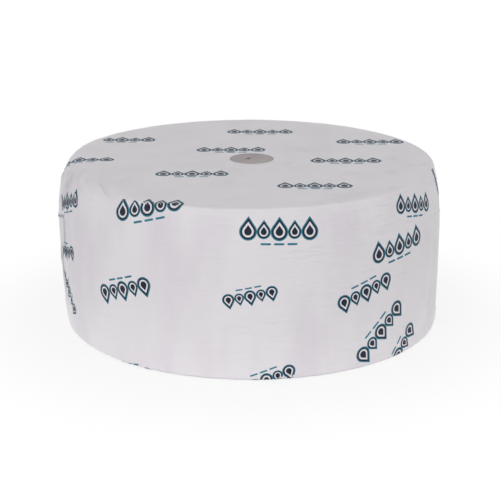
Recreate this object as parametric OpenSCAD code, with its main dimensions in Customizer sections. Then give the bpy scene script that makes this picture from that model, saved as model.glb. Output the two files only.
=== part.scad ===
// Large garage paper roll, shrink-wrapped in printed white film and standing on its end.
// Z is the roll's axis, the floor is z = 0, and the print on the top reads upright from the -Y side.

/* [Roll] */
// Diameter at the widest level, over the film
roll_d = 420; // [360:5:460]
// Height from face to face, which is the width of the paper
roll_h = 179; // [160:1:220]
// Height of the widest level above the floor
widest_h = 114; // [95:1:125]
// How much smaller the radius is at the top edge than at the widest level
top_draw = 7.6; // [4:0.1:12]
// How much smaller the radius is at the bottom edge than at the widest level
foot_draw = 2.8; // [1.5:0.1:6]
// Radius of the round between the side and the top face
shoulder_r = 3.6; // [2:0.1:8]
// Radius of the round between the side and the bottom face
foot_r = 5; // [2:0.1:8]

/* [Core mouth] */
// Bore of the cardboard core, which shows as a dished disc under the film
core_bore_d = 50; // [38:1:76]
// How deep the film sags into the core's mouth
mouth_sag = 1.6; // [0.8:0.1:3]
// Length of the vent slit in the film over the core's mouth
vent_l = 9; // [4:0.5:14]
// Width of the vent slit at its middle
vent_w = 2.4; // [1:0.1:4]
// Depth of the vent slit
vent_depth = 2; // [1:0.1:4]
// How far the vent slit is turned from the line of the print
vent_turn = 50; // [0:5:90]
// Distance of the vent slit from the roll's axis
vent_out = 7.6; // [0:0.1:9]
// Direction of the vent slit from the roll's axis
vent_bearing = 122; // [0:1:359]

/* [Film seam] */
// Height of the seam that closes the film round the back
seam_h = 120; // [100:1:140]
// Diameter of the welded bead along the seam
seam_bead_d = 2.2; // [1:0.1:4]
// Diameter of the puckered knot at each end of the seam
knot_d = 6.4; // [5:0.1:8]
// Length of the longest pleats that fan out of each knot
pleat_l = 30; // [20:1:34]
// Width of a pleat
pleat_w = 1.6; // [1:0.1:2]
// How far a pleat's crest stands out of the film at the knot
pleat_h = 0.7; // [0.5:0.1:0.8]
// Length of the long tuck that runs down and forward from the left knot
tuck_l = 105; // [60:5:115]
// Width of the long tuck
tuck_w = 2.4; // [1.6:0.1:3]
// Turn of the long tuck from straight down towards the front
tuck_turn = 34; // [20:1:45]

/* [Printed mark] */
// Thickness of the ink on the film
ink_t = 0.2; // [0.1:0.01:0.3]
// Number of drops in a mark
drop_count = 5; // [3:1:6]
// Gap between neighbouring drops
drop_gap = 1.6; // [0.3:0.1:2]
// Radius of the larger drops
large_drop_r = 7.6; // [6:0.1:9]
// Radius of the smaller drops between them
small_drop_r = 6; // [4:0.1:8]
// Height of a drop's point above its middle, in radii
drop_point = 1.7; // [1.3:0.1:2.2]
// Number of dashes under the drops
dash_count = 3; // [2:1:4]
// Length of a dash
dash_l = 10; // [6:1:12]
// Thickness of a dash
dash_w = 2; // [1:0.1:3]
// Gap between neighbouring dashes, and between them and the drops
dash_gap = 3; // [2:0.5:5]

/* [Print layout] */
// Distance on the top face from one column of marks to the next
print_across = 127; // [115:1:150]
// Distance on the top face from a mark to the next one in its column
print_down = 100; // [90:1:125]
// How far a column drifts sideways from mark to mark
print_lean = 36; // [0:1:40]
// Sideways place of the first mark on the top face
print_x = -21; // [-40:1:40]
// Place of the first mark on the top face, to the back
print_y = 42; // [-40:1:45]

/* [Hidden] */
$fn = 96;
fine_fn = 360;
margin = 1;
roll_r = roll_d / 2;
mouth_r = core_bore_d / 2;

// Radius of the arc that falls away by draw over a rise from its widest point
function arc_r(rise, draw) = (rise * rise + draw * draw) / (2 * draw);

// Two arcs that meet at the widest level make the side.
upper_arc_r = arc_r(roll_h - widest_h, top_draw);
lower_arc_r = arc_r(widest_h, foot_draw);
upper_arc_x = roll_r - upper_arc_r;
lower_arc_x = roll_r - lower_arc_r;

// Each edge round touches its face and its arc, which places its middle.
shoulder_z = roll_h - shoulder_r;
shoulder_x = upper_arc_x + sqrt(pow(upper_arc_r - shoulder_r, 2) - pow(shoulder_z - widest_h, 2));
shoulder_slope = (shoulder_z - widest_h) / (upper_arc_r - shoulder_r);
foot_x = lower_arc_x + sqrt(pow(lower_arc_r - foot_r, 2) - pow(widest_h - foot_r, 2));
foot_slope = (widest_h - foot_r) / (lower_arc_r - foot_r);

// The film over the core's mouth is part of a large sphere.
dish_r = arc_r(mouth_r, mouth_sag);

// Radius of the arc that makes the side at a height
function wall_arc_r(z) = z > widest_h ? upper_arc_r : lower_arc_r;

// Radius of the roll at a height
function side_r(z) = roll_r - wall_arc_r(z) + sqrt(pow(wall_arc_r(z), 2) - pow(z - widest_h, 2));

// Half the roll's section without the dishes
module half_section() {
    upper_touch_z = widest_h + upper_arc_r * shoulder_slope;
    lower_touch_z = widest_h - lower_arc_r * foot_slope;
    intersection() {
        translate([upper_arc_x, widest_h])
            circle(upper_arc_r, $fn = fine_fn);
        translate([0, widest_h])
            square([roll_r, upper_touch_z - widest_h]);
    }
    intersection() {
        translate([lower_arc_x, widest_h])
            circle(lower_arc_r, $fn = fine_fn);
        translate([0, lower_touch_z])
            square([roll_r, widest_h - lower_touch_z]);
    }
    translate([shoulder_x, shoulder_z])
        circle(shoulder_r);
    translate([foot_x, foot_r])
        circle(foot_r);
    translate([0, widest_h])
        square([shoulder_x, roll_h - widest_h]);
    square([foot_x, widest_h]);
}

// The roll as a turned solid, with the film dished over the core's mouth at both ends
module drum() {
    rotate_extrude()
        difference() {
            half_section();
            translate([0, roll_h + dish_r - mouth_sag])
                circle(dish_r, $fn = fine_fn);
            translate([0, mouth_sag - dish_r])
                circle(dish_r, $fn = fine_fn);
        }
}

// The vent slit is the lens between two arcs.
module vent_slit() {
    slit_arc_r = arc_r(vent_l / 2, vent_w / 2);
    slit_z = roll_h - mouth_sag - vent_depth;
    rotate(vent_bearing)
        translate([vent_out, 0, slit_z])
            rotate(vent_turn - vent_bearing)
                linear_extrude(roll_h - slit_z + margin)
                    intersection() {
                        translate([0, slit_arc_r - vent_w / 2])
                            circle(slit_arc_r);
                        translate([0, vent_w / 2 - slit_arc_r])
                            circle(slit_arc_r);
                    }
}

// One pleat runs from the knot along the wall, at a direction that is 0 for straight up and 90 for
// the front. Its crest is an arc that follows a wall of the given upright radius and sinks into it
// at the pleat's end.
pleat_sink = 0.3;
module pleat(direction, length, width, start, upright_r) {
    bend = pow(cos(direction), 2) / upright_r + pow(sin(direction), 2) / roll_r;
    fall = bend * length * length / 2;
    crest_r = length * length / (2 * (pleat_h + pleat_sink + fall));
    root = fall + knot_d / 2;
    rotate([90 + direction, 0, 0])
        linear_extrude(width, center = true)
            intersection() {
                translate([pleat_h - crest_r, 0])
                    circle(crest_r, $fn = fine_fn);
                translate([-root, start])
                    square([root + margin, length - start]);
            }
}

// A knot with its fan of pleats, open towards the seam behind it. The level pleats are half as long.
pleat_count = 5;
pleat_fan = 300;
module seam_end() {
    translate([side_r(seam_h), 0, seam_h]) {
        translate([-knot_d / 4, 0, 0])
            sphere(d = knot_d);
        for (k = [0 : pleat_count - 1]) {
            direction = 90 + (k / (pleat_count - 1) - 0.5) * pleat_fan;
            length = pleat_l * (0.5 + 0.5 * abs(cos(direction))) * (k % 2 == 0 ? 1 : 0.7);
            pleat(direction, length, pleat_w, knot_d / 3, wall_arc_r(seam_h));
        }
    }
}

// The long tuck starts clear of the knot's pleats and follows the wall below the widest level.
tuck_start = 1.5 * knot_d;
module long_tuck() {
    translate([side_r(seam_h), 0, seam_h])
        pleat(180 - tuck_turn, tuck_l, tuck_w, tuck_start, lower_arc_r);
}

// The welded bead runs round the back half and ends inside both knots.
bead_inset = 0.4;
module seam_bead() {
    rotate(bead_inset)
        rotate_extrude(angle = 180 - 2 * bead_inset)
            translate([side_r(seam_h), seam_h])
                circle(d = seam_bead_d);
}

module wrapped_roll() {
    color("white") {
        difference() {
            drum();
            vent_slit();
        }
        seam_bead();
        seam_end();
        mirror([1, 0, 0]) {
            seam_end();
            long_tuck();
        }
    }
}

// A drop is an arc round its middle and a point above, where the arc's last tangents meet.
module drop(radius) {
    steps = 10;
    touch = asin(1 / drop_point);
    turn = 180 + 2 * touch;
    arc = [for (k = [0 : steps]) radius * [cos(touch - k * turn / steps), sin(touch - k * turn / steps)]];
    polygon(concat(arc, [[0, radius * drop_point]]));
}

// A mark is a row of large and small drops over a row of dashes. Each piece is its middle's
// place and its radius, which is 0 for a dash.
drop_pitch = large_drop_r + small_drop_r + drop_gap;
dash_pitch = dash_l + dash_gap;
dash_y = -large_drop_r - dash_gap - dash_w / 2;
function in_row(k, count, pitch) = (k - (count - 1) / 2) * pitch;
drops = [for (k = [0 : drop_count - 1])
    [in_row(k, drop_count, drop_pitch), 0, k % 2 == 0 ? large_drop_r : small_drop_r]];
dashes = [for (k = [0 : dash_count - 1]) [in_row(k, dash_count, dash_pitch), dash_y, 0]];

module ink(radius, size = 1) {
    linear_extrude(ink_t)
        if (radius > 0)
            drop(size * radius);
        else
            square(size * [dash_l, dash_w], center = true);
}

// The print on the top face is a half-drop repeat.
rim_keep = 12;
repeats = [-4 : 4];
sheet = [for (i = repeats, j = repeats) [
    print_x + i * print_across - j * print_lean,
    print_y - i * print_down / 2 - j * print_down
]];
top_marks = [for (p = sheet) if (norm(p) < shoulder_x - rim_keep) p];

// On the side the film is drawn towards the knots, so the print is uneven there. Each mark is its
// bearing from the front, its share of the roll's height, its slant and its size.
upper_marks = [
    [-68, 0.84, 18, 0.85],
    [-30, 0.90, 16, 1.05],
    [8, 0.87, -2, 1.03],
    [47, 0.68, 4, 1.03],
    [56, 0.88, -10, 0.91],
    [118, 0.88, 8, 1],
    [154, 0.80, 4, 1],
    [190, 0.88, 0, 1],
    [226, 0.80, 4, 1],
    [262, 0.88, 10, 1]
];
lower_marks = [
    [-70, 0.53, 14, 0.74],
    [-38, 0.47, 19, 0.95],
    [0, 0.51, 11, 0.72],
    [34, 0.47, 15, 0.9],
    [106, 0.44, 22, 0.8],
    [142, 0.46, 16, 0.76],
    [178, 0.47, 15, 0.76],
    [214, 0.46, 14, 0.76],
    [250, 0.44, 14, 0.76]
];
foot_marks = [
    [-70, 0.27, -40, 0.72],
    [5, 0.04, 24, 0.8],
    [40, 0.20, 41, 1],
    [52, 0.06, 55, 0.8],
    [88, 0.14, 40, 0.76],
    [124, 0.14, 25, 0.76],
    [160, 0.10, 16, 0.76],
    [196, 0.10, 14, 0.76],
    [232, 0.14, 14, 0.76]
];

// Pieces of a mark on the top face, without those that lie over the rim
module top_mark(pieces, place) {
    for (piece = pieces) {
        x = place.x + piece[0];
        y = place.y + piece[1];
        if (norm([x, y]) < shoulder_x - piece[2] / 2)
            translate([x, y, roll_h])
                ink(piece[2]);
    }
}

// Way round the wall from the left knot to a bearing between the two knots' backs
function from_left_knot(bearing) = (bearing > 180 ? bearing - 270 : bearing + 90) * PI / 180 * roll_r;

// True where a piece of print keeps clear of the long tuck
function clear_of_tuck(bearing, height, reach) =
    let (
        ahead = from_left_knot(bearing),
        below = seam_h - height,
        along = ahead * sin(tuck_turn) + below * cos(tuck_turn),
        across = ahead * cos(tuck_turn) - below * sin(tuck_turn)
    )
    along < -reach || along > tuck_l + reach || abs(across) > tuck_w + reach;

// True where a piece of print keeps clear of both edges, the knots' pleats, the tuck and the bead
function on_plain_wall(bearing, height, reach) =
    height > foot_r + reach && height < shoulder_z - reach
    && norm([roll_r * cos(bearing), height - seam_h]) > pleat_l + reach
    && (cos(bearing) > 0 || abs(height - seam_h) > seam_bead_d + reach)
    && clear_of_tuck(bearing, height, reach);

// Pieces of a mark on the side, upright or turned over. Each lies flat against the wall behind its
// own middle, and only those on the plain wall are printed.
module side_mark(pieces, place, turned) {
    size = place[3];
    reach = size * large_drop_r * drop_point;
    tilt = turned + place[2];
    for (piece = pieces) {
        right = size * (piece[0] * cos(tilt) - piece[1] * sin(tilt));
        height = place[1] * roll_h + size * (piece[0] * sin(tilt) + piece[1] * cos(tilt));
        bearing = place[0] + right / roll_r * 180 / PI;
        if (on_plain_wall(bearing, height, reach))
            rotate(bearing)
                translate([0, -side_r(height), height])
                    rotate([90 - asin((height - widest_h) / wall_arc_r(height)), 0, 0])
                        rotate(tilt)
                            ink(piece[2], size);
    }
}

module printed(pieces) {
    for (place = top_marks)
        top_mark(pieces, place);
    for (place = upper_marks)
        side_mark(pieces, place, 0);
    for (place = concat(lower_marks, foot_marks))
        side_mark(pieces, place, 180);
}

module print_navy() {
    color("midnightblue")
        printed(drops);
}

module print_teal() {
    color("teal")
        printed(dashes);
}

wrapped_roll();
print_navy();
print_teal();
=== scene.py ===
"""A large garage paper roll, wrapped tight in printed white film and standing on its end."""
import math

import bpy
import numpy as np
from bpy.props import FloatProperty, FloatVectorProperty, PointerProperty
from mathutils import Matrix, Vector


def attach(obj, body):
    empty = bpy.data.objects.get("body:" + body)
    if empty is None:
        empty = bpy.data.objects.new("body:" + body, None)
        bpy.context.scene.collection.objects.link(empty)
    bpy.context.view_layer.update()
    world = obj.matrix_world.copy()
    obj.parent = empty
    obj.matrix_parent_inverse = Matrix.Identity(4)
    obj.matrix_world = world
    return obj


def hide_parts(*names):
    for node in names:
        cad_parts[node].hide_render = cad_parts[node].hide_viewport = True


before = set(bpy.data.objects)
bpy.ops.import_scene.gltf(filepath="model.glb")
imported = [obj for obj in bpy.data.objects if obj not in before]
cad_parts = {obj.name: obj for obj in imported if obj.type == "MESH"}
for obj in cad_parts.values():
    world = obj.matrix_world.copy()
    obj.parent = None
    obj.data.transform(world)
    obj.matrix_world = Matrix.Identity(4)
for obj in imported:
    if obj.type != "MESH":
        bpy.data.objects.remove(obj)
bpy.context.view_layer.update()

bl_info = {
    "name": "Garage Paper Roll",
    "version": (1, 0, 0),
    "blender": (4, 5, 0),
    "location": "View3D > Sidebar > Paper Roll",
    "description": "Wraps a paper roll in shrunk film, prints it and sets it on a pale floor",
    "category": "Object",
}

MM = 0.001

# The roll's sizes in millimetres. They are those of the part's source, but for the mouth's radius and place
# and the vent slit's length and width, which are nearer to the photo here.
ROLL_R = 210.0
ROLL_H = 179.0
WIDEST_H = 114.0
TOP_DRAW = 7.6
FOOT_DRAW = 2.8
SHOULDER_R = 3.6
FOOT_R = 5.0
MOUTH_R = 24.2
MOUTH_X = 3.2
MOUTH_SAG = 1.6
SEAM_H = 120.0
TUCK_L = 105.0
TUCK_TURN = math.radians(34.0)
KNOT_R = 3.1
VENT_AT = (-4.03, 6.45)
VENT_TURN = 50.0
VENT_L = 10.0
VENT_W = 3.2
VENT_DEPTH = 2.0
LARGE_DROP = 7.6
SMALL_DROP = 6.0
DROP_POINT = 1.7
DROP_PITCH = 15.2
DASH_L = 10.0
DASH_W = 2.0
DASH_PITCH = 13.0
DASH_DOWN = 11.6

# Bearings from the front, in degrees, of the knots at the seam's two ends and of the fold ahead of the left one
LEFT_KNOT = -90.0
RIGHT_KNOT = 90.0
TAIL_AT = -72.0

# How far the roll leans to the left, in millimetres for each millimetre of height
LEAN = 0.0145

# How far from the edge the soft shoulder on the left begins, in millimetres
SOFT_REACH = 21.0


def arc_r(rise, draw):
    """Radius of the arc that falls away by draw over a rise from its widest point."""
    return (rise * rise + draw * draw) / (2 * draw)


UPPER_R = arc_r(ROLL_H - WIDEST_H, TOP_DRAW)
LOWER_R = arc_r(WIDEST_H, FOOT_DRAW)
SHOULDER_Z = ROLL_H - SHOULDER_R
SHOULDER_X = ROLL_R - UPPER_R + math.sqrt((UPPER_R - SHOULDER_R) ** 2 - (SHOULDER_Z - WIDEST_H) ** 2)
FOOT_X = ROLL_R - LOWER_R + math.sqrt((LOWER_R - FOOT_R) ** 2 - (WIDEST_H - FOOT_R) ** 2)
SHOULDER_ANGLE = math.asin((SHOULDER_Z - WIDEST_H) / (UPPER_R - SHOULDER_R))
FOOT_ANGLE = math.asin((WIDEST_H - FOOT_R) / (LOWER_R - FOOT_R))

# Where the marks lie. On the top face: x and y in millimetres. On the wall: bearing from the front in
# degrees, share of the height, slant and size. Past the shoulder or the foot a mark runs on over the face.
TOP_MARKS = [(11.9, 131.6), (-21.4, 40.8), (-61.5, -67.4), (66.8, -116.7), (105.2, -10.5),
             (138.4, 80.0), (-148.5, 90.0)]
UPPER_MARKS = [(-68, 0.84, 18, 0.85), (-30, 0.965, 16, 1.05), (8, 0.87, -2, 1.03), (47, 0.68, 4, 1.03),
               (56, 0.88, -10, 0.91), (79, 0.91, -60, 0.5), (118, 0.88, 8, 1.0), (154, 0.80, 4, 1.0),
               (190, 0.88, 0, 1.0), (226, 0.80, 4, 1.0), (256, 0.88, 10, 1.0), (-88.3, 1.075, 89, 1.0)]
LOWER_MARKS = [(-70, 0.53, 14, 0.74), (-38, 0.47, 19, 0.95), (0, 0.51, 11, 0.72), (34, 0.47, 15, 0.9),
               (106, 0.44, 22, 0.8), (142, 0.46, 16, 0.76), (178, 0.47, 15, 0.76), (214, 0.46, 14, 0.76),
               (250, 0.44, 14, 0.76),
               (-70, 0.27, -40, 0.72), (-37, -0.035, 8, 0.74), (4.6, 0.01, 20, 0.8), (40, 0.20, 41, 1.0),
               (48.5, 0.01, 51, 0.95), (88, 0.14, 40, 0.76), (124, 0.14, 25, 0.76), (160, 0.10, 16, 0.76),
               (196, 0.10, 14, 0.76), (232, 0.14, 14, 0.76)]

# How far the print keeps from the top face's edge and how far it runs in under the foot, in millimetres
RIM_KEEP = 6.0
UNDER_FOOT = 18.0

# How far outside the film the rays start that press the print on it, and how far they reach, in metres
RAY_START = 0.03
RAY_REACH = 0.12

# How far the ink stands out of the film, in metres
INK_THICKNESS = 0.00016

# Linear colours that no setting holds
FILM_SHADE = (0.905, 0.892, 0.915)
# Painted shade: the hollow core's mouth tinted by its cardboard, the slit into it, and the dark folds, mixed
# there with caught print
SHADED_BOARD_DARK = (0.31, 0.262, 0.262, 1.0)
SHADED_BOARD_LIGHT = (0.40, 0.357, 0.362, 1.0)
SLIT_SHADE = (0.035, 0.022, 0.02, 1.0)
FOLD_SHADE_AND_INK = (0.15, 0.15, 0.22, 1.0)
FLOOR_GREY = (0.86, 0.86, 0.86, 1.0)
WHITE = (1.0, 1.0, 1.0, 1.0)

# The floor lies just below the roll, so that the two faces don't fill the same place. Both in metres.
FLOOR_HALF = 6.0
FLOOR_Z = -0.0003

# The camera's sensor in millimetres, and how far the picture is shifted to the photo's framing
SENSOR_W = 36.0
CAMERA_SHIFT = -0.0274

# Soft square lamps: name, the setting that feeds each, its share of that, its size and its place in metres
LAMPS = [
    ("key_lamp", "key", 1.0, 2.4, (0.0, -1.0, 2.6)),
    ("front_lamp", "fill", 1.0, 0.9, (-0.9, -2.0, 0.6)),
    ("left_lamp", "fill", 0.28, 1.0, (-1.5, -0.9, 0.55)),
    ("right_lamp", "fill", 0.5, 1.0, (1.5, -0.9, 0.55)),
]

# The bright table's glow is a disc that shines upwards and reaches out past the roll. Both in metres.
GLOW_D = 0.62
GLOW_Z = 0.002


def smooth(edge0, edge1, x):
    """Soft step from 0 at edge0 to 1 at edge1."""
    t = np.clip((x - edge0) / (edge1 - edge0), 0.0, 1.0)
    return t * t * (3.0 - 2.0 * t)


def bell(x, middle, width):
    """A soft bump of height 1 round its middle."""
    return np.exp(-((x - middle) / width) ** 2)


def drift(bearing, along, around_cells, along_cell, seed):
    """Soft noise from -1 to 1 on the wrapped film: periodic round the roll, cells of along_cell mm."""
    rng = np.random.default_rng(seed)
    rows = 64
    grid = rng.uniform(-1.0, 1.0, (around_cells, rows))
    u = np.mod(bearing / (2 * math.pi), 1.0) * around_cells
    v = along / along_cell + rows / 2
    iu, iv = np.floor(u).astype(int), np.floor(v).astype(int)
    fu, fv = u - iu, v - iv
    fu, fv = fu * fu * (3 - 2 * fu), fv * fv * (3 - 2 * fv)
    a, b = iu % around_cells, (iu + 1) % around_cells
    c, d = iv % rows, (iv + 1) % rows
    low = grid[a, c] * (1 - fu) + grid[b, c] * fu
    high = grid[a, d] * (1 - fu) + grid[b, d] * fu
    return low * (1 - fv) + high * fv


def dish(radius):
    """How far the film sags at a radius inside the core's mouth."""
    return MOUTH_SAG * np.clip(1.0 - (radius / MOUTH_R) ** 2, 0.0, None)


def wrap_rings():
    """Rings of the plain wrap from the core's mouth below, up the wall, to the mouth above.

    Each is (radius, height, outward r, outward z, way from the shoulder, way from the foot)."""
    rings = []
    for r in np.concatenate([np.linspace(32, 150, 8), np.linspace(165, 193, 4), [197.0, 201.0]]):
        rings.append((r, 0.0, 0.0, -1.0))
    for a in np.linspace(-math.pi / 2, -FOOT_ANGLE, 7):
        rings.append((FOOT_X + FOOT_R * math.cos(a), FOOT_R + FOOT_R * math.sin(a), math.cos(a), math.sin(a)))
    low = FOOT_R - FOOT_R * math.sin(FOOT_ANGLE)
    high = SHOULDER_Z + SHOULDER_R * math.sin(SHOULDER_ANGLE)
    heights = np.concatenate([np.linspace(low, 112.0, 50)[1:], np.linspace(112.0, 127.6, 27)[1:],
                              np.linspace(127.6, high, 25)[1:-1]])
    for z in heights:
        arc = UPPER_R if z > WIDEST_H else LOWER_R
        a = math.asin((z - WIDEST_H) / arc)
        rings.append((ROLL_R - arc + arc * math.cos(a), z, math.cos(a), math.sin(a)))
    for a in np.linspace(SHOULDER_ANGLE, math.pi / 2, 8):
        rings.append((SHOULDER_X + SHOULDER_R * math.cos(a), SHOULDER_Z + SHOULDER_R * math.sin(a),
                      math.cos(a), math.sin(a)))
    for r in np.concatenate([np.linspace(SHOULDER_X, 184, 9)[1:], np.linspace(184, 150, 12)[1:],
                             np.linspace(150, 32, 16)[1:]]):
        rings.append((r, ROLL_H, 0.0, 1.0))
    rings = np.array(rings)
    step = np.hypot(np.diff(rings[:, 0]), np.diff(rings[:, 1]))
    way = np.concatenate([[0.0], np.cumsum(step)])
    shoulder = way[np.argmax(rings[:, 0] + rings[:, 1])]
    foot = way[np.argmax(rings[:, 0] - rings[:, 1])]
    return np.column_stack([rings, way - shoulder, way - foot])


def wrap_bearings():
    """Columns of the wrap, closer together where the film is gathered at its two sides."""
    left = np.linspace(-98, -66, 92, endpoint=False)
    front = np.linspace(-66, 82, 200, endpoint=False)
    right = np.linspace(82, 98, 52, endpoint=False)
    back = np.linspace(98, 262, 200, endpoint=False)
    return np.radians(np.concatenate([left, front, right, back]))


def way_round(bearing, place):
    """Arc in millimetres from a bearing in degrees, the short way round."""
    turn = np.mod(bearing - math.radians(place) + math.pi, 2 * math.pi) - math.pi
    return turn * ROLL_R


def soft_shoulder(rings):
    """The rings with the shoulder drawn into a wide curve, as it is on the left."""
    way = rings[:, 4]
    low, high = (np.array([np.interp(end, way, rings[:, k]) for k in range(4)])
                 for end in (-SOFT_REACH, SOFT_REACH))
    corner = low[:2] + np.array([-low[3], low[2]]) * (high[1] - low[1]) / low[2]
    near = np.abs(way) < SOFT_REACH
    t = (way[near, None] + SOFT_REACH) / (2 * SOFT_REACH)
    soft = rings.copy()
    soft[near, :2] = (1 - t) ** 2 * low[:2] + 2 * t * (1 - t) * corner + t ** 2 * high[:2]
    along = (1 - t) * (corner - low[:2]) + t * (high[:2] - corner)
    along /= np.hypot(along[:, 0], along[:, 1])[:, None]
    soft[near, 2], soft[near, 3] = along[:, 1], -along[:, 0]
    return soft


def tuck_way(b, z):
    """Arc in millimetres from the long tuck, which runs forward and down from the left knot, and its strength
    from 0 to 1."""
    below = np.clip(SEAM_H - z, 0.0, TUCK_L * math.cos(TUCK_TURN))
    side_way = way_round(b, LEFT_KNOT) - below * math.tan(TUCK_TURN)
    return side_way * math.cos(TUCK_TURN), smooth(118, 110, z) * smooth(28, 44, z)


def seam_tail(b, z):
    """The end of the seam past the left knot, and the upright fold that hangs from it, each from 0 to 1."""
    ahead = way_round(b, TAIL_AT)
    rise = SEAM_H + 0.8 + 0.26 * np.clip(ahead + 42.0, 0.0, 48.0)
    level = bell(z, rise, 1.8) * smooth(-68.0, -60.0, ahead) * smooth(8.0, 2.0, ahead)
    upright = bell(ahead, 0.0, 9.0) * smooth(SEAM_H + 12, SEAM_H + 8, z) * smooth(84, 97, z)
    return level, upright


def fold_shade_and_ink(b, z):
    """How dark the film's folds on the left are painted, from 0 to 1: painted shade in the tuck's hollow, the
    creases and the gathers, with the print that is caught in them.
    """
    side_way, run = tuck_way(b, z)
    level, upright = seam_tail(b, z)
    from_knot = np.hypot(way_round(b, LEFT_KNOT), z - SEAM_H)
    side = bell(way_round(b, -76.0), 0.0, 27.0)
    crease = np.clip(1.0 - 5.0 * np.abs(drift(b + z * 0.0016, z, 120, 40.0, 19)), 0.0, 1.0)
    over = smooth(124, 136, z) * smooth(180, 164, z) + 0.45 * smooth(112, 100, z) * smooth(20, 60, z)
    shade = bell(way_round(b, TAIL_AT), 0.0, 20.0) * smooth(132, 152, z) * smooth(181, 172, z)
    # Painted shade and caught print along the tuck, round the knot, on the seam's tail and upright fold and in
    # the creases, with a patch of painted shade over the gathers
    return np.clip(0.8 * run * bell(side_way, 3.6, 1.9) + 0.5 * bell(from_knot, 0.0, 6.0) + 0.8 * level
                   + 0.72 * upright + 0.42 * side * crease * over + 0.16 * shade, 0.0, 1.0)


def film_relief(b, z, from_shoulder, from_foot):
    """How far the shrunk film stands out of the plain wrap, in millimetres."""
    deg = np.degrees(np.mod(b + math.pi, 2 * math.pi) - math.pi)
    wall = smooth(-2.0, 3.0, from_foot) * smooth(2.0, -3.0, from_shoulder)
    out = 0.35 * drift(b, z, 18, 60.0, 3) * wall
    out += 0.16 * drift(b, z, 44, 22.0, 4) * wall

    # Upright flutes low on the left of the front
    flutes = smooth(-66, -50, deg) * smooth(6, -10, deg) * smooth(2, 22, z) * smooth(128, 96, z)
    out += 0.62 * flutes * drift(b, z, 96, 95.0, 5)
    out += 0.22 * flutes * drift(b, z, 150, 34.0, 15)

    # Gathers that run over the shoulder, deepest on the left
    left = smooth(-92, -72, deg) * smooth(-34, -52, deg)
    crest = bell(from_shoulder, 0.0, 20.0)
    out += 0.14 * crest * drift(b + from_shoulder * 0.0012, from_shoulder, 92, 34.0, 6)
    out += 1.5 * left * crest * drift(b + from_shoulder * 0.008, from_shoulder, 84, 44.0, 6)
    out += 0.6 * left * crest * drift(b + from_shoulder * 0.006, from_shoulder, 170, 22.0, 7)
    ridge = 1.0 - np.abs(drift(b + from_shoulder * 0.0095, from_shoulder, 58, 40.0, 16))
    out += 2.3 * left * crest * ridge ** 4
    out -= 0.25 * bell(from_shoulder, 0.0, 8.0)

    # The foot is rounder on the left than on the right, with small tucks all round
    soft_foot = smooth(-105, -75, deg) * smooth(-25, -60, deg)
    out -= 1.2 * soft_foot * bell(from_foot, 3.0, 11.0)
    tuck = bell(from_foot, 0.0, 6.0) * smooth(-7.0, 1.0, from_foot)
    out -= 0.5 * tuck * np.clip(drift(b, z, 150, 30.0, 8), 0.0, 1.0)

    # The seam round the back, with the film drawn up on both sides of it
    back = smooth(89, 92, np.abs(deg))
    away = z - SEAM_H
    out += back * (1.0 * bell(away, 0.0, 0.95) - 0.35 * bell(away, 0.0, 5.0))
    out += 0.22 * back * bell(away, 0.0, 9.0) * drift(b, z, 210, 40.0, 9)

    # A knot at each end of the seam, with pleats that run out of it
    for place, folds, phase in ((RIGHT_KNOT, 11, 1.3), (LEFT_KNOT, 13, 0.4)):
        round_way = way_round(b, place)
        reach = np.hypot(round_way, away)
        angle = np.arctan2(round_way, away)
        star = np.abs(np.cos(folds * angle / 2 + phase + 0.6 * np.sin(3 * angle))) ** 3
        fade = np.exp(-reach / 15.0) * smooth(1.5, 5.0, reach) * wall
        out += 1.15 * star * fade - 0.5 * fade
        out += 1.7 * np.clip(1.0 - (reach / KNOT_R) ** 2, 0.0, None) ** 0.5

    # A long tuck runs down from the left knot and slants forward
    side_way, run = tuck_way(b, z)
    raised, hollow, behind = bell(side_way, 0.0, 1.7), bell(side_way, 4.0, 2.6), bell(side_way, -4.0, 3.0)
    out += run * (1.2 * raised - 1.5 * hollow - 0.3 * behind)

    # The seam's tail stands out, and the upright fold is a hollow with a rise beside it
    level, upright = seam_tail(b, z)
    out += 0.8 * level - 0.9 * upright + 0.6 * np.roll(upright, 8, axis=-1)

    # Hollows and creases of the gathered film on the left, above the knot and below it
    gather = smooth(-98, -86, deg) * smooth(-62, -74, deg) * smooth(12, 40, z)
    gather *= smooth(6.0, -10.0, from_shoulder)
    crease = np.abs(drift(b, z, 90, 42.0, 18)) ** 0.5
    out += gather * (1.5 * drift(b + z * 0.0009, z, 128, 60.0, 17) - 0.9 * crease)

    # A short shallow crease on the front
    front_way = way_round(b, -32.0)
    out -= 0.3 * bell(z - 119.0 - 0.12 * front_way, 0.0, 1.3) * bell(front_way, 0.0, 9.0)
    return out


def top_relief(x, y, r):
    """Relief of the top film round the core's mouth and over the top face, in millimetres."""
    b = np.arctan2(x, -y)
    out = 0.22 * drift(b, r, 30, 26.0, 11) * smooth(24.0, 30.0, r) * smooth(85.0, 30.0, r)
    out += 0.30 * bell(r, MOUTH_R + 1.2, 1.1)
    out += 0.25 * drift(b, r, 14, 60.0, 12) * smooth(40.0, 80.0, r) * smooth(190.0, 150.0, r)
    out += 0.10 * drift(b, r, 24, 5.0, 13) * smooth(25.0, 20.0, r)
    return out


def vent_depth(x, y):
    """1 inside the vent slit, 0 outside it."""
    t = math.radians(VENT_TURN)
    along = (x - VENT_AT[0]) * math.cos(t) + (y - VENT_AT[1]) * math.sin(t)
    across = -(x - VENT_AT[0]) * math.sin(t) + (y - VENT_AT[1]) * math.cos(t)
    half = VENT_W / 2 * np.clip(1.0 - (2 * along / VENT_L) ** 2, 0.0, None)
    return smooth(0.25, -0.35, np.abs(across) - half)


def lean(x, z):
    """The wrapped roll leans a little, so that its foot lies further right than its top."""
    return x + LEAN * (ROLL_H / 2 - z)


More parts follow.
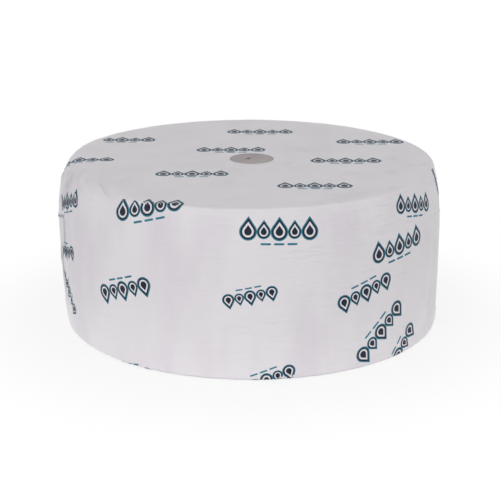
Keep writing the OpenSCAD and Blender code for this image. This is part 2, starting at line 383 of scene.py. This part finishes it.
def mouth_rings(top, bearings):
    """The film's rings over one end of the core, from outside in.

    Each holds its points and their marks for the core's mouth, the slit and the dark edge, which is painted
    shade along the rim, darkest at the front."""
    radii = MOUTH_R + np.array([4.5, 2.6, 1.6, 1.0, 0.5, 0.1, -0.3, -0.8, -1.8])
    radii = np.concatenate([radii, np.arange(MOUTH_R - 3, 0.6, -0.85)])
    # Painted shade along the mouth's rim, strongest on the near side at the front; it is carried in the fold
    # mark
    near = 0.35 + 0.65 * smooth(-0.2, 0.6, np.cos(bearings))
    rings = []
    for q in radii if top else radii[::2]:
        x = q * np.sin(bearings) + MOUTH_X * smooth(1.3 * MOUTH_R, 1.1 * MOUTH_R, q)
        y = -q * np.cos(bearings)
        sag = dish(np.full(x.size, q))
        if top:
            cut = vent_depth(x - MOUTH_X, y)
            level = ROLL_H - sag + top_relief(x, y, np.full(x.size, q)) - VENT_DEPTH * cut
            inside = np.full(x.size, smooth(MOUTH_R + 0.3, MOUTH_R - 0.4, q))
            edge = near * bell(q, MOUTH_R - 0.5, 0.55) * 0.9
        else:
            level = sag
            inside, cut, edge = np.zeros((3, x.size))
        rings.append((np.column_stack([x, y, level]), inside, cut, edge))
    return rings


def film_mesh():
    """The film as one closed skin: its points, faces, and marks for the painted shade of the core's mouth and
    slit, and for the dark folds, whose mark holds painted shade and caught print.
    """
    rings, bearings = wrap_rings(), wrap_bearings()
    cols = len(bearings)
    b = np.tile(bearings, (len(rings), 1))
    deg = np.degrees(np.mod(b + math.pi, 2 * math.pi) - math.pi)

    # The soft shoulder is on the left, and goes over into the plain one towards the back and the front
    soft = smooth(-118, -78, deg) * smooth(-22, -50, deg)
    r, z, nr, nz, sh, ft = (plain[:, None] * (1 - soft) + slack[:, None] * soft
                            for plain, slack in zip(rings.T, soft_shoulder(rings).T))
    out = film_relief(b, z, sh, ft)
    radius, height = r + out * nr, z + out * nz
    x, y = radius * np.sin(b), -radius * np.cos(b)
    on_top = (nz > 0.99) & (z > ROLL_H - 0.05)
    height = np.where(on_top, height + top_relief(x, y, r), height)
    height = np.maximum(height, 0.0)
    points = [np.column_stack([x.ravel(), y.ravel(), height.ravel()])]
    marks = [(np.zeros(x.size), np.zeros(x.size), fold_shade_and_ink(b, z).ravel())]
    index = np.arange(x.size).reshape(x.shape)
    faces = []
    nxt = np.roll(np.arange(cols), -1)
    for k in range(len(rings) - 1):
        a, c = index[k], index[k + 1]
        faces += np.column_stack([a, a[nxt], c[nxt], c]).tolist()

    # Inside the mouths a quarter of the columns is enough
    few = bearings[::4]
    start = x.size
    for top in (False, True):
        edge = index[-1] if top else index[0]
        last, disc = None, []
        for ring_points, *ring_marks in mouth_rings(top, few):
            points.append(ring_points)
            marks.append(ring_marks)
            ring = np.arange(start, start + few.size)
            start += few.size
            step = np.roll(ring, -1)
            if last is None:
                for j in range(few.size):
                    wide = [int(edge[(4 * j + m) % cols]) for m in range(5)]
                    disc.append(wide + [int(step[j]), int(ring[j])])
            else:
                disc += np.column_stack([last, np.roll(last, -1), step, ring]).tolist()
            last = ring
        disc += [[int(last[j]), int(last[(j + 1) % few.size]), start] for j in range(few.size)]
        faces += disc if top else [face[::-1] for face in disc]
        points.append(np.array([[MOUTH_X, 0.0, ROLL_H - MOUTH_SAG if top else MOUTH_SAG]]))
        marks.append((np.full(1, float(top)), np.zeros(1), np.zeros(1)))
        start += 1
    points = np.vstack(points)
    points[:, 0] = lean(points[:, 0], points[:, 2])
    return points * MM, faces, *(np.concatenate(values) for values in zip(*marks))


def new_object(name, mesh):
    """An object for a finished mesh, at the origin, linked to the scene."""
    obj = bpy.data.objects.new(name, mesh)
    bpy.context.scene.collection.objects.link(obj)
    return obj


def socket_value(node, name, value):
    """Set the value of a node's own input."""
    node.inputs[name].default_value = value


class Nodes:
    """Short ways to add and join the nodes of a tree."""

    def __init__(self, tree):
        self.tree = tree

    def add(self, kind, **settings):
        """A new node with its settings."""
        node = self.tree.nodes.new(kind)
        for key, value in settings.items():
            setattr(node, key, value)
        return node

    def feed(self, value, sock):
        """Join an output to an input, or set the input to a value."""
        if isinstance(value, bpy.types.NodeSocket):
            self.tree.links.new(value, sock)
        else:
            sock.default_value = value

    def number(self, operation, *values):
        """What a Math node makes of one or two numbers."""
        node = self.add("ShaderNodeMath", operation=operation)
        for k, value in enumerate(values):
            self.feed(value, node.inputs[k])
        return node.outputs["Value"]

    def seen(self):
        """1 for rays from the camera, straight or by way of gloss or glass, and 0 for others."""
        paths = self.add("ShaderNodeLightPath").outputs
        straight = self.number("MAXIMUM", paths["Is Camera Ray"], paths["Is Glossy Ray"])
        return self.number("MAXIMUM", straight, paths["Is Transmission Ray"])

    def blend(self, share, first, second, sock):
        """Mix two shaders and join the result to an input."""
        node = self.add("ShaderNodeMixShader")
        for k, value in enumerate((share, first, second)):
            self.feed(value, node.inputs[k])
        self.feed(node.outputs[0], sock)


class Shader(Nodes):
    """The nodes of a new material."""

    def __init__(self, name):
        self.material = bpy.data.materials.new(name)
        self.material.use_nodes = True
        super().__init__(self.material.node_tree)
        self.tree.nodes.clear()
        self.end = self.add("ShaderNodeOutputMaterial").inputs["Surface"]

    def principled(self):
        """The material's one surface shader."""
        surface = self.add("ShaderNodeBsdfPrincipled")
        self.feed(surface.outputs["BSDF"], self.end)
        return surface

    def range(self, value, low, high, to_low=0.0, to_high=1.0):
        """A soft step from to_low to to_high while a number goes from low to high."""
        node = self.add("ShaderNodeMapRange", interpolation_type="SMOOTHSTEP")
        self.feed(value, node.inputs["Value"])
        for name, number in (("From Min", low), ("From Max", high), ("To Min", to_low), ("To Max", to_high)):
            socket_value(node, name, number)
        return node.outputs["Result"]

    def noise(self, where, stretch, scale, detail=2.0, rough=0.5):
        """Noise over a place that is stretched first."""
        mapping = self.add("ShaderNodeMapping")
        socket_value(mapping, "Scale", stretch)
        self.feed(where, mapping.inputs["Vector"])
        node = self.add("ShaderNodeTexNoise")
        self.feed(mapping.outputs["Vector"], node.inputs["Vector"])
        for name, number in (("Scale", scale), ("Detail", detail), ("Roughness", rough)):
            socket_value(node, name, number)
        return node.outputs["Fac"]

    def mark(self, name):
        """A mark that the mesh carries for each point."""
        return self.add("ShaderNodeAttribute", attribute_name=name).outputs["Fac"]

    def mix(self, share, first, second):
        """A mix of two colours."""
        node = self.add("ShaderNodeMix", data_type="RGBA")
        self.feed(share, node.inputs["Factor"])
        for name, value in (("A", first), ("B", second)):
            self.feed(value, [s for s in node.inputs if s.name == name and s.type == "RGBA"][0])
        return [s for s in node.outputs if s.type == "RGBA"][0]

    def bump(self, height, distance, strength, under=None):
        """A bumped normal, over another where one is given."""
        node = self.add("ShaderNodeBump")
        socket_value(node, "Distance", distance)
        socket_value(node, "Strength", strength)
        self.feed(height, node.inputs["Height"])
        if under is not None:
            self.feed(under, node.inputs["Normal"])
        return node.outputs["Normal"]


def film_material(film):
    """White film over wound paper: satin, faintly mottled, with the paper's edges as fine level lines."""
    sh = Shader("white_film")
    surface = sh.principled()
    place = sh.add("ShaderNodeTexCoord").outputs["Object"]
    split = sh.add("ShaderNodeSeparateXYZ")
    sh.feed(place, split.inputs["Vector"])
    x, z = split.outputs["X"], split.outputs["Z"]

    white = tuple(film.colour) + (1.0,)
    shade = tuple(c * k for c, k in zip(film.colour, FILM_SHADE)) + (1.0,)
    mottle = sh.noise(place, (1.0, 1.0, 0.32), 17.0, 3.0, 0.55)
    less_on_top = sh.range(z, 0.165, 0.178, 1.0, 0.4)
    blotch = sh.number("MULTIPLY", sh.range(mottle, 0.26, 0.62, 1.0, 0.0), less_on_top)
    colour = sh.mix(blotch, white, shade)

    # The level lines are stronger to the right, where the film is drawn tight
    tight = sh.range(x, -0.07, 0.09, 0.3, 1.0)
    lines = sh.noise(place, (0.09, 0.09, 1.0), 300.0, 3.0, 0.65)
    thin = sh.number("MULTIPLY", sh.number("MULTIPLY", sh.range(lines, 0.56, 0.70), tight), 0.62)
    colour = sh.mix(thin, colour, shade)

    # Painted shade: the hollow core shows darker through the film over its mouth, tinted by its cardboard, and
    # the slit, where the hollow is seen, darker still
    cloud = sh.noise(place, (1.0, 1.0, 1.0), 90.0, 2.0, 0.5)
    colour = sh.mix(sh.mark("mouth"), colour, sh.mix(cloud, SHADED_BOARD_DARK, SHADED_BOARD_LIGHT))
    colour = sh.mix(sh.mark("slit"), colour, SLIT_SHADE)

    # Painted shade in the folds, mixed with the print that is caught in them, shows as dark lines. The same
    # mark paints a shaded line along the core's mouth, darkest on its near side.
    colour = sh.mix(sh.mark("fold"), colour, FOLD_SHADE_AND_INK)
    sh.feed(colour, surface.inputs["Base Color"])

    gloss = sh.noise(place, (1.0, 1.0, 1.0), 34.0, 3.0, 0.6)
    dull = sh.range(gloss, 0.25, 0.75, film.roughness - 0.06, film.roughness + 0.08)
    sh.feed(dull, surface.inputs["Roughness"])
    socket_value(surface, "Specular IOR Level", 0.42)

    waves = sh.noise(place, (0.5, 0.5, 3.2), 26.0, 3.0, 0.6)
    level_lines = sh.number("MULTIPLY", sh.number("MULTIPLY", lines, tight), 1.1)
    wavy = sh.bump(sh.number("ADD", level_lines, waves), 0.0011, 0.7)
    crinkle = sh.noise(place, (1.0, 1.0, 0.6), 210.0, 4.0, 0.65)
    sh.feed(sh.bump(crinkle, 0.00025, 0.35, wavy), surface.inputs["Normal"])
    return sh.material


def ink_material(name, colour, edge):
    """Flat ink, a little uneven where the film took less of it."""
    sh = Shader(name)
    surface = sh.principled()
    place = sh.add("ShaderNodeTexCoord").outputs["Object"]
    patch = sh.noise(place, (1.0, 1.0, 1.0), 240.0, 3.0, 0.6)
    uneven = sh.mix(sh.range(patch, 0.35, 0.8), tuple(colour) + (1.0,), tuple(edge) + (1.0,))
    sh.feed(uneven, surface.inputs["Base Color"])
    grain = sh.noise(place, (1.0, 1.0, 1.0), 900.0, 2.0, 0.5)
    sh.feed(sh.range(grain, 0.3, 0.7, 0.42, 0.56), surface.inputs["Roughness"])
    socket_value(surface, "Specular IOR Level", 0.22)
    sh.feed(sh.bump(patch, 0.0001, 0.3), surface.inputs["Normal"])
    return sh.material


def drop_outline(steps=26):
    """Points round a drop of radius 1 whose point is up."""
    touch = math.asin(1 / DROP_POINT)
    turn = math.pi + 2 * touch
    loop = []
    for k in range(steps + 1):
        a = touch - k * turn / steps
        loop.append((math.cos(a), math.sin(a)))
    flank_l, flank_r = loop[-1], loop[0]
    for t in (0.33, 0.66):
        loop.append((flank_l[0] * (1 - t), flank_l[1] * (1 - t) + DROP_POINT * t))
    loop.append((0.0, DROP_POINT))
    for t in (0.66, 0.33):
        loop.append((flank_r[0] * (1 - t), flank_r[1] * (1 - t) + DROP_POINT * t))
    return np.array(loop)


def plate_mesh(name, bands):
    """A thin closed stamp plate in the unrolled plane, 0 below and 1 above.

    Each band holds its loops, from the outer to the inner one, and whether it is filled to its middle."""
    points, faces = [], []

    def add(loop, level):
        """Add a loop's points at one level and give their numbers."""
        first = len(points)
        points.extend([(p[0], p[1], level) for p in loop])
        return list(range(first, first + len(loop)))

    for loops, filled in bands:
        count = len(loops[0])
        tops = [add(loop, 1.0) for loop in loops]
        feet = [add(loop, 0.0) for loop in loops]
        for k in range(len(loops) - 1):
            for j in range(count):
                n = (j + 1) % count
                faces.append((tops[k][n], tops[k][j], tops[k + 1][j], tops[k + 1][n]))
                faces.append((feet[k][j], feet[k][n], feet[k + 1][n], feet[k + 1][j]))
        for j in range(count):
            n = (j + 1) % count
            faces.append((tops[0][j], tops[0][n], feet[0][n], feet[0][j]))
            if not filled:
                faces.append((tops[-1][n], tops[-1][j], feet[-1][j], feet[-1][n]))
        if filled:
            middle = np.mean(np.array(loops[-1]), axis=0)
            t, f = add([middle], 1.0)[0], add([middle], 0.0)[0]
            for j in range(count):
                n = (j + 1) % count
                faces.append((tops[-1][n], tops[-1][j], t))
                faces.append((feet[-1][j], feet[-1][n], f))
    mesh = bpy.data.meshes.new(name)
    mesh.from_pydata([tuple(p) for p in points], [], faces)
    mesh.update()
    return mesh


def drop_stamp():
    """The dark part of a drop: a rim and a core, with the film white between them."""
    loop = drop_outline()
    rim = [loop * k for k in (0.97, 0.85, 0.74)]
    core = [loop * k for k in (0.48, 0.26)]
    return plate_mesh("drop_stamp", [(rim, False), (core, True)])


def halo_stamp():
    """The blue-green line round a drop."""
    loop = drop_outline()
    return plate_mesh("halo_stamp", [([loop * k for k in (1.13, 1.04, 0.95)], False)])


def dash_stamp():
    """A dash with round ends, along x."""
    loop = []
    for side in (1, -1):
        for k in range(13):
            a = side * math.pi / 2 - math.pi * k / 12
            loop.append((side * (DASH_L - DASH_W) / 2 + DASH_W / 2 * math.cos(a), DASH_W / 2 * math.sin(a)))
        for t in (0.25, 0.5, 0.75):
            loop.append((side * (DASH_L - DASH_W) * (0.5 - t), -side * DASH_W / 2))
    loop = np.array(loop)[::-1]
    inner = loop * (0.9, 0.4)
    return plate_mesh("dash_stamp", [([loop, inner], True)])


def mark_places(piece):
    """Where each drop or dash of every mark lies: x or way round, y or way up, turn, size, and
    1 on the top face or 0 on the wall."""
    if piece == "drop":
        parts = [((k - 2) * DROP_PITCH, 0.0, LARGE_DROP if k % 2 == 0 else SMALL_DROP) for k in range(5)]
    else:
        parts = [((k - 1) * DASH_PITCH, -DASH_DOWN, 1.0) for k in range(3)]
    rows = []
    for x, y in TOP_MARKS:
        for u, v, size in parts:
            if math.hypot(x + u, y + v) < SHOULDER_X - RIM_KEEP:
                rows.append((x + u, y + v, 0.0, size, 1.0))
    for places, flip in ((UPPER_MARKS, 0.0), (LOWER_MARKS, 180.0)):
        for bearing, share, slant, scale in places:
            t, height = math.radians(slant + flip), share * ROLL_H
            for u, v, size in parts:
                right = scale * (u * math.cos(t) - v * math.sin(t))
                up = scale * (u * math.sin(t) + v * math.cos(t))
                if height + up > -UNDER_FOOT:
                    rows.append((math.radians(bearing) * ROLL_R + right, height + up, t, size * scale, 0.0))
    return np.array(rows)


class Tree(Nodes):
    """The nodes of a new Geometry Nodes tree."""

    def __init__(self, name):
        super().__init__(bpy.data.node_groups.new(name, "GeometryNodeTree"))

    def socket(self, name, kind, value=None, way="INPUT"):
        """A new input or output of the whole tree."""
        item = self.tree.interface.new_socket(name, in_out=way, socket_type=kind)
        if value is not None:
            item.default_value = value
        return item.identifier

    def vector(self, operation, *values):
        """What a Vector Math node makes of its vectors."""
        node = self.add("ShaderNodeVectorMath", operation=operation)
        for k, value in enumerate(values):
            self.feed(value, node.inputs[k])
        return node.outputs["Vector"]

    def scaled(self, vector, factor):
        """A vector times a number."""
        node = self.add("ShaderNodeVectorMath", operation="SCALE")
        self.feed(vector, node.inputs[0])
        self.feed(factor, node.inputs["Scale"])
        return node.outputs["Vector"]

    def join_xyz(self, x, y, z):
        """A vector of three numbers."""
        node = self.add("ShaderNodeCombineXYZ")
        for value, name in ((x, "X"), (y, "Y"), (z, "Z")):
            self.feed(value, node.inputs[name])
        return node.outputs["Vector"]

    def attribute(self, name):
        """A number that the points carry."""
        node = self.add("GeometryNodeInputNamedAttribute", data_type="FLOAT")
        node.inputs["Name"].default_value = name
        return node.outputs["Attribute"]


def print_tree():
    """Stamps laid out flat at their places, then rolled round the wrap and pressed on the film."""
    t = Tree("press_print")
    t.socket("Places", "NodeSocketGeometry")
    ids = {name: t.socket(name, kind) for name, kind in (
        ("Stamp", "NodeSocketObject"), ("Film", "NodeSocketObject"), ("Ink", "NodeSocketMaterial"))}
    for name, value in (
            ("Thickness", INK_THICKNESS), ("Wall Radius", ROLL_R * MM), ("Shoulder Radius", SHOULDER_X * MM),
            ("Shoulder Height", SHOULDER_Z * MM), ("Shoulder Round", SHOULDER_R * MM),
            ("Foot Height", FOOT_R * MM), ("Reach", RAY_START)):
        ids[name] = t.socket(name, "NodeSocketFloat", value)
    t.socket("Print", "NodeSocketGeometry", way="OUTPUT")
    given = t.add("NodeGroupInput").outputs
    stamp = t.add("GeometryNodeObjectInfo")
    t.feed(given["Stamp"], stamp.inputs["Object"])
    turn = t.add("FunctionNodeEulerToRotation")
    t.feed(t.join_xyz(0.0, 0.0, t.attribute("turn")), turn.inputs[0])
    size = t.attribute("size")
    put = t.add("GeometryNodeInstanceOnPoints")
    t.feed(given["Places"], put.inputs["Points"])
    t.feed(stamp.outputs["Geometry"], put.inputs["Instance"])
    t.feed(turn.outputs[0], put.inputs["Rotation"])
    t.feed(t.join_xyz(size, size, 1.0), put.inputs["Scale"])
    real = t.add("GeometryNodeRealizeInstances")
    t.feed(put.outputs[0], real.inputs[0])

    split = t.add("ShaderNodeSeparateXYZ")
    t.feed(t.add("GeometryNodeInputPosition").outputs[0], split.inputs[0])
    way, up, lift = split.outputs

    # On the wall the way round is an angle. Past an edge round the way up turns in over its face.
    angle = t.number("DIVIDE", way, given["Wall Radius"])
    outward = t.join_xyz(t.number("SINE", angle), t.number("MULTIPLY", t.number("COSINE", angle), -1.0), 0.0)
    tilts, insets = [], []
    for past, edge_round in ((t.number("SUBTRACT", up, given["Shoulder Height"]), given["Shoulder Round"]),
                             (t.number("SUBTRACT", given["Foot Height"], up), given["Foot Height"])):
        bend = t.number("MULTIPLY", edge_round, math.pi / 2)
        turned = t.number("MINIMUM", t.number("MAXIMUM", t.number("DIVIDE", past, bend), 0.0), 1.0)
        tilts.append(t.number("MULTIPLY", turned, math.pi / 2))
        insets.append(t.number("MAXIMUM", t.number("SUBTRACT", past, bend), 0.0))
    tilt = t.number("SUBTRACT", tilts[0], tilts[1])
    radius = t.number("SUBTRACT", given["Shoulder Radius"], t.number("ADD", insets[0], insets[1]))
    level = t.number("MAXIMUM", t.number("MINIMUM", up, given["Shoulder Height"]), given["Foot Height"])
    sideways = t.scaled(outward, t.number("COSINE", tilt))
    facing = t.vector("ADD", sideways, t.join_xyz(0.0, 0.0, t.number("SINE", tilt)))
    centre = t.vector("ADD", t.scaled(outward, radius), t.join_xyz(0.0, 0.0, level))
    from_wall = t.vector("ADD", centre, t.scaled(facing, given["Reach"]))
    from_top = t.join_xyz(way, up, t.number("ADD", given["Shoulder Height"], given["Reach"]))

    flat = t.attribute("on_top")
    start = t.add("ShaderNodeMix", data_type="VECTOR")
    aim = t.add("ShaderNodeMix", data_type="VECTOR")
    for node, wall, top in ((start, from_wall, from_top), (aim, t.scaled(facing, -1.0), (0.0, 0.0, -1.0))):
        t.feed(flat, node.inputs[0])
        t.feed(wall, node.inputs[4])
        t.feed(top, node.inputs[5])

    film = t.add("GeometryNodeObjectInfo")
    t.feed(given["Film"], film.inputs["Object"])
    ray = t.add("GeometryNodeRaycast")
    t.feed(film.outputs["Geometry"], ray.inputs["Target Geometry"])
    t.feed(start.outputs[1], ray.inputs["Source Position"])
    t.feed(aim.outputs[1], ray.inputs["Ray Direction"])
    t.feed(RAY_REACH, ray.inputs["Ray Length"])
    rise = t.number("SUBTRACT", t.number("MULTIPLY", lift, t.number("MULTIPLY", given["Thickness"], 2.0)),
                    given["Thickness"])
    pressed = t.vector("ADD", ray.outputs["Hit Position"], t.scaled(ray.outputs["Hit Normal"], rise))
    move = t.add("GeometryNodeSetPosition")
    t.feed(real.outputs[0], move.inputs["Geometry"])
    t.feed(pressed, move.inputs["Position"])
    paint = t.add("GeometryNodeSetMaterial")
    t.feed(move.outputs[0], paint.inputs["Geometry"])
    t.feed(given["Ink"], paint.inputs["Material"])
    end = t.add("NodeGroupOutput")
    t.feed(paint.outputs[0], end.inputs[0])
    return t.tree, ids


def pressed_print(name, stamp_mesh, places, ink, thickness):
    """The mesh of one stamp pressed on the film at all its places."""
    film = bpy.data.objects.get("film_skin")
    if film is None:
        raise RuntimeError("wrap the roll before it is printed: there is no film_skin")
    tree, ids = print_tree()
    dots = bpy.data.meshes.new(name + "_places")
    dots.from_pydata([(p[0] * MM, p[1] * MM, 0.0) for p in places], [], [])
    for key, column in (("turn", 2), ("size", 3), ("on_top", 4)):
        layer = dots.attributes.new(key, "FLOAT", "POINT")
        values = places[:, column] * (MM if key == "size" else 1.0)
        layer.data.foreach_set("value", values.astype(np.float32))
    carrier = new_object(name + "_carrier", dots)
    stamp = new_object(name + "_stamp", stamp_mesh)
    mod = carrier.modifiers.new("press", "NODES")
    mod.node_group = tree
    for key, value in (("Stamp", stamp), ("Film", film), ("Ink", ink), ("Thickness", thickness)):
        mod[ids[key]] = value
    graph = bpy.context.evaluated_depsgraph_get()
    mesh = bpy.data.meshes.new_from_object(carrier.evaluated_get(graph))
    if not len(mesh.polygons):
        raise RuntimeError("no print was pressed for " + name)
    carrier.modifiers.clear()
    for extra in (carrier, stamp):
        bpy.data.objects.remove(extra)
    return mesh


def joined(name, meshes, material):
    """One mesh of several, with one material."""
    points, faces = [], []
    for mesh in meshes:
        first = len(points)
        points += [tuple(v.co) for v in mesh.vertices]
        faces += [tuple(first + k for k in p.vertices) for p in mesh.polygons]
        bpy.data.meshes.remove(mesh)
    whole = bpy.data.meshes.new(name)
    whole.from_pydata(points, [], faces)
    whole.materials.append(material)
    whole.update()
    return whole


class FilmSettings(bpy.types.PropertyGroup):
    """The film's look."""

    colour: FloatVectorProperty(name="Film Colour", description="Colour of the film over the paper",
                                subtype="COLOR", size=3, min=0.0, max=1.0, default=(0.80, 0.772, 0.803))
    roughness: FloatProperty(name="Film Roughness", description="How dull the film is",
                             subtype="FACTOR", min=0.1, max=0.9, default=0.44)


class PrintSettings(bpy.types.PropertyGroup):
    """The print's inks."""

    navy: FloatVectorProperty(name="Navy Ink", description="Colour of the drops",
                              subtype="COLOR", size=3, min=0.0, max=1.0, default=(0.006, 0.011, 0.026))
    teal: FloatVectorProperty(name="Teal Ink", description="Colour of the lines round the drops and the dashes",
                              subtype="COLOR", size=3, min=0.0, max=1.0, default=(0.022, 0.165, 0.235))
    thickness: FloatProperty(name="Ink Thickness", description="How far the ink stands out of the film",
                             unit="LENGTH", min=0.00005, max=0.0005, default=INK_THICKNESS)


class StageSettings(bpy.types.PropertyGroup):
    """The studio round the roll."""

    lens: FloatProperty(name="Lens", description="Focal length of the camera",
                        unit="CAMERA", min=20.0, max=300.0, default=108.4)
    distance: FloatProperty(name="Camera Distance", description="From the camera to the roll's middle",
                            unit="LENGTH", min=0.5, max=6.0, default=1.686)
    elevation: FloatProperty(name="Camera Elevation", description="How far the camera looks down",
                             subtype="ANGLE", min=0.0, max=1.57, default=math.radians(16.85))
    key: FloatProperty(name="Key Light", description="Power of the soft lamp above the front",
                       unit="POWER", min=0.0, max=500.0, default=13.0)
    fill: FloatProperty(name="Front Light", description="Power of the low lamp at the front, on the left",
                        unit="POWER", min=0.0, max=500.0, default=9.0)
    table: FloatProperty(name="Table Glow", description="Power of the light that the table sends up the side",
                         unit="POWER", min=0.0, max=20.0, default=0.2)
    sky: FloatProperty(name="Sky", description="Strength of the even light all round",
                       min=0.0, max=2.0, default=0.42)


class WRAP_OT_film(bpy.types.Operator):
    """Wrap the roll in its shrunk white film"""

    bl_idname = "paper_roll.film"
    bl_label = "Wrap in Film"

    def execute(self, context):
        points, faces, mouth, slit, fold = film_mesh()
        mesh = bpy.data.meshes.new("film_skin")
        mesh.from_pydata(points.tolist(), [], faces)
        mesh.shade_smooth()
        # The mouth, slit and fold marks carry painted shade; the fold mark also holds the print caught in the
        # folds
        for key, values in (("mouth", mouth), ("slit", slit), ("fold", fold)):
            mesh.attributes.new(key, "FLOAT", "POINT").data.foreach_set("value", values.astype(np.float32))
        mesh.materials.append(film_material(context.scene.paper_roll_film))
        skin = new_object("film_skin", mesh)
        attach(skin, "root")
        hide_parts("wrapped_roll")
        return {"FINISHED"}


class PRINT_OT_drops(bpy.types.Operator):
    """Print the dark drops of every mark on the film"""

    bl_idname = "paper_roll.drops"
    bl_label = "Print Drops"

    def execute(self, context):
        inks = context.scene.paper_roll_print
        navy = ink_material("navy_ink", inks.navy, tuple(min(1.0, c * 1.6 + 0.004) for c in inks.navy))
        drops = pressed_print("drop", drop_stamp(), mark_places("drop"), navy, inks.thickness)
        piece = new_object("print_drops", joined("print_drops", [drops], navy))
        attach(piece, "root")
        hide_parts("print_navy")
        return {"FINISHED"}


class PRINT_OT_lines(bpy.types.Operator):
    """Print the blue-green lines round the drops, and the dashes under them"""

    bl_idname = "paper_roll.lines"
    bl_label = "Print Lines and Dashes"

    def execute(self, context):
        inks = context.scene.paper_roll_print
        teal = ink_material("teal_ink", inks.teal, tuple(min(1.0, c * 1.35 + 0.01) for c in inks.teal))
        halos = pressed_print("halo", halo_stamp(), mark_places("drop"), teal, inks.thickness * 0.75)
        dashes = pressed_print("dash", dash_stamp(), mark_places("dash"), teal, inks.thickness)
        piece = new_object("print_lines", joined("print_lines", [halos, dashes], teal))
        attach(piece, "root")
        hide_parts("print_teal")
        return {"FINISHED"}


def lamp(name, power, size, place, aim):
    """A soft square lamp that points at a place."""
    data = bpy.data.lights.new(name, "AREA")
    data.energy, data.size = power, size
    obj = bpy.data.objects.new(name, data)
    bpy.context.scene.collection.objects.link(obj)
    obj.location = place
    obj.rotation_euler = (Vector(aim) - Vector(place)).to_track_quat("-Z", "Y").to_euler()
    obj.visible_camera = False
    return obj


class STAGE_OT_studio(bpy.types.Operator):
    """Set up the pale floor, the soft light and the camera"""

    bl_idname = "paper_roll.studio"
    bl_label = "Set Up Studio"

    def execute(self, context):
        stage = context.scene.paper_roll_stage
        self.floor()
        self.world(stage.sky)
        middle = (0.0, 0.0, ROLL_H / 2 * MM)
        for name, setting, share, size, place in LAMPS:
            lamp(name, getattr(stage, setting) * share, size, place, middle)
        glow = lamp("table_glow", stage.table, GLOW_D, (0.0, 0.0, GLOW_Z), (0.0, 0.0, 1.0))
        glow.data.shape = "DISK"
        self.camera(stage, middle)
        context.scene.view_settings.view_transform = "Standard"
        return {"FINISHED"}

    def floor(self):
        """A grey floor that takes the roll's shadow near it and is plain white further out."""
        mesh = bpy.data.meshes.new("floor")
        corners = [(x * FLOOR_HALF, y * FLOOR_HALF, FLOOR_Z) for x, y in ((-1, -1), (1, -1), (1, 1), (-1, 1))]
        mesh.from_pydata(corners, [], [(0, 1, 2, 3)])
        sh = Shader("pale_floor")
        matt, white = sh.add("ShaderNodeBsdfDiffuse"), sh.add("ShaderNodeEmission")
        socket_value(matt, "Color", FLOOR_GREY)
        socket_value(white, "Color", WHITE)
        socket_value(white, "Strength", 1.0)
        away = sh.add("ShaderNodeVectorMath", operation="LENGTH")
        sh.feed(sh.add("ShaderNodeTexCoord").outputs["Object"], away.inputs[0])

        # The share of plain white goes from 0.84 under the roll to 1 at 0.38 m from its axis
        share = sh.number("MULTIPLY", sh.seen(), sh.range(away.outputs["Value"], 0.2, 0.38, 0.84, 1.0))
        sh.blend(share, matt.outputs[0], white.outputs[0], sh.end)
        mesh.materials.append(sh.material)
        new_object("floor", mesh)

    def world(self, strength):
        """Even light all round, and plain white past the floor."""
        world = bpy.data.worlds.new("studio")
        world.use_nodes = True
        nodes = Nodes(world.node_tree)
        nodes.tree.nodes.clear()
        even, white = nodes.add("ShaderNodeBackground"), nodes.add("ShaderNodeBackground")
        socket_value(even, "Color", WHITE)
        socket_value(even, "Strength", strength)
        socket_value(white, "Color", WHITE)
        end = nodes.add("ShaderNodeOutputWorld").inputs["Surface"]
        nodes.blend(nodes.seen(), even.outputs[0], white.outputs[0], end)
        bpy.context.scene.world = world

    def camera(self, stage, middle):
        """The camera at the photo's angle."""
        data = bpy.data.cameras.new("camera")
        data.lens, data.sensor_width = stage.lens, SENSOR_W
        data.shift_y = CAMERA_SHIFT
        obj = bpy.data.objects.new("camera", data)
        bpy.context.scene.collection.objects.link(obj)
        away = Vector((0.0, -math.cos(stage.elevation), math.sin(stage.elevation)))
        obj.location = Vector(middle) + away * stage.distance
        obj.rotation_euler = (-away).to_track_quat("-Z", "Y").to_euler()
        bpy.context.scene.camera = obj


class VIEW3D_PT_paper_roll(bpy.types.Panel):
    """Lists the roll's pieces and their settings"""

    bl_label = "Paper Roll"
    bl_idname = "VIEW3D_PT_paper_roll"
    bl_space_type = "VIEW_3D"
    bl_region_type = "UI"
    bl_category = "Paper Roll"

    def draw(self, context):
        scene = context.scene
        studio = ("lens", "distance", "elevation", "key", "fill", "table", "sky")
        for settings, names, operators in (
                (scene.paper_roll_film, ("colour", "roughness"), ("paper_roll.film",)),
                (scene.paper_roll_print, ("navy", "teal", "thickness"),
                 ("paper_roll.drops", "paper_roll.lines")),
                (scene.paper_roll_stage, studio, ("paper_roll.studio",))):
            box = self.layout.box()
            for name in names:
                box.prop(settings, name)
            for operator in operators:
                box.operator(operator)


CLASSES = (FilmSettings, PrintSettings, StageSettings, WRAP_OT_film, PRINT_OT_drops, PRINT_OT_lines,
           STAGE_OT_studio, VIEW3D_PT_paper_roll)


def register():
    """Add the add-on's classes and settings."""
    for cls in CLASSES:
        bpy.utils.register_class(cls)
    bpy.types.Scene.paper_roll_film = PointerProperty(type=FilmSettings)
    bpy.types.Scene.paper_roll_print = PointerProperty(type=PrintSettings)
    bpy.types.Scene.paper_roll_stage = PointerProperty(type=StageSettings)


def unregister():
    """Take the add-on's classes and settings away."""
    for name in ("paper_roll_film", "paper_roll_print", "paper_roll_stage"):
        delattr(bpy.types.Scene, name)
    for cls in reversed(CLASSES):
        bpy.utils.unregister_class(cls)


def main():
    """Build the roll and its studio."""
    register()
    bpy.ops.paper_roll.film()
    bpy.ops.paper_roll.drops()
    bpy.ops.paper_roll.lines()
    bpy.ops.paper_roll.studio()


if __name__ == "__main__":
    main()
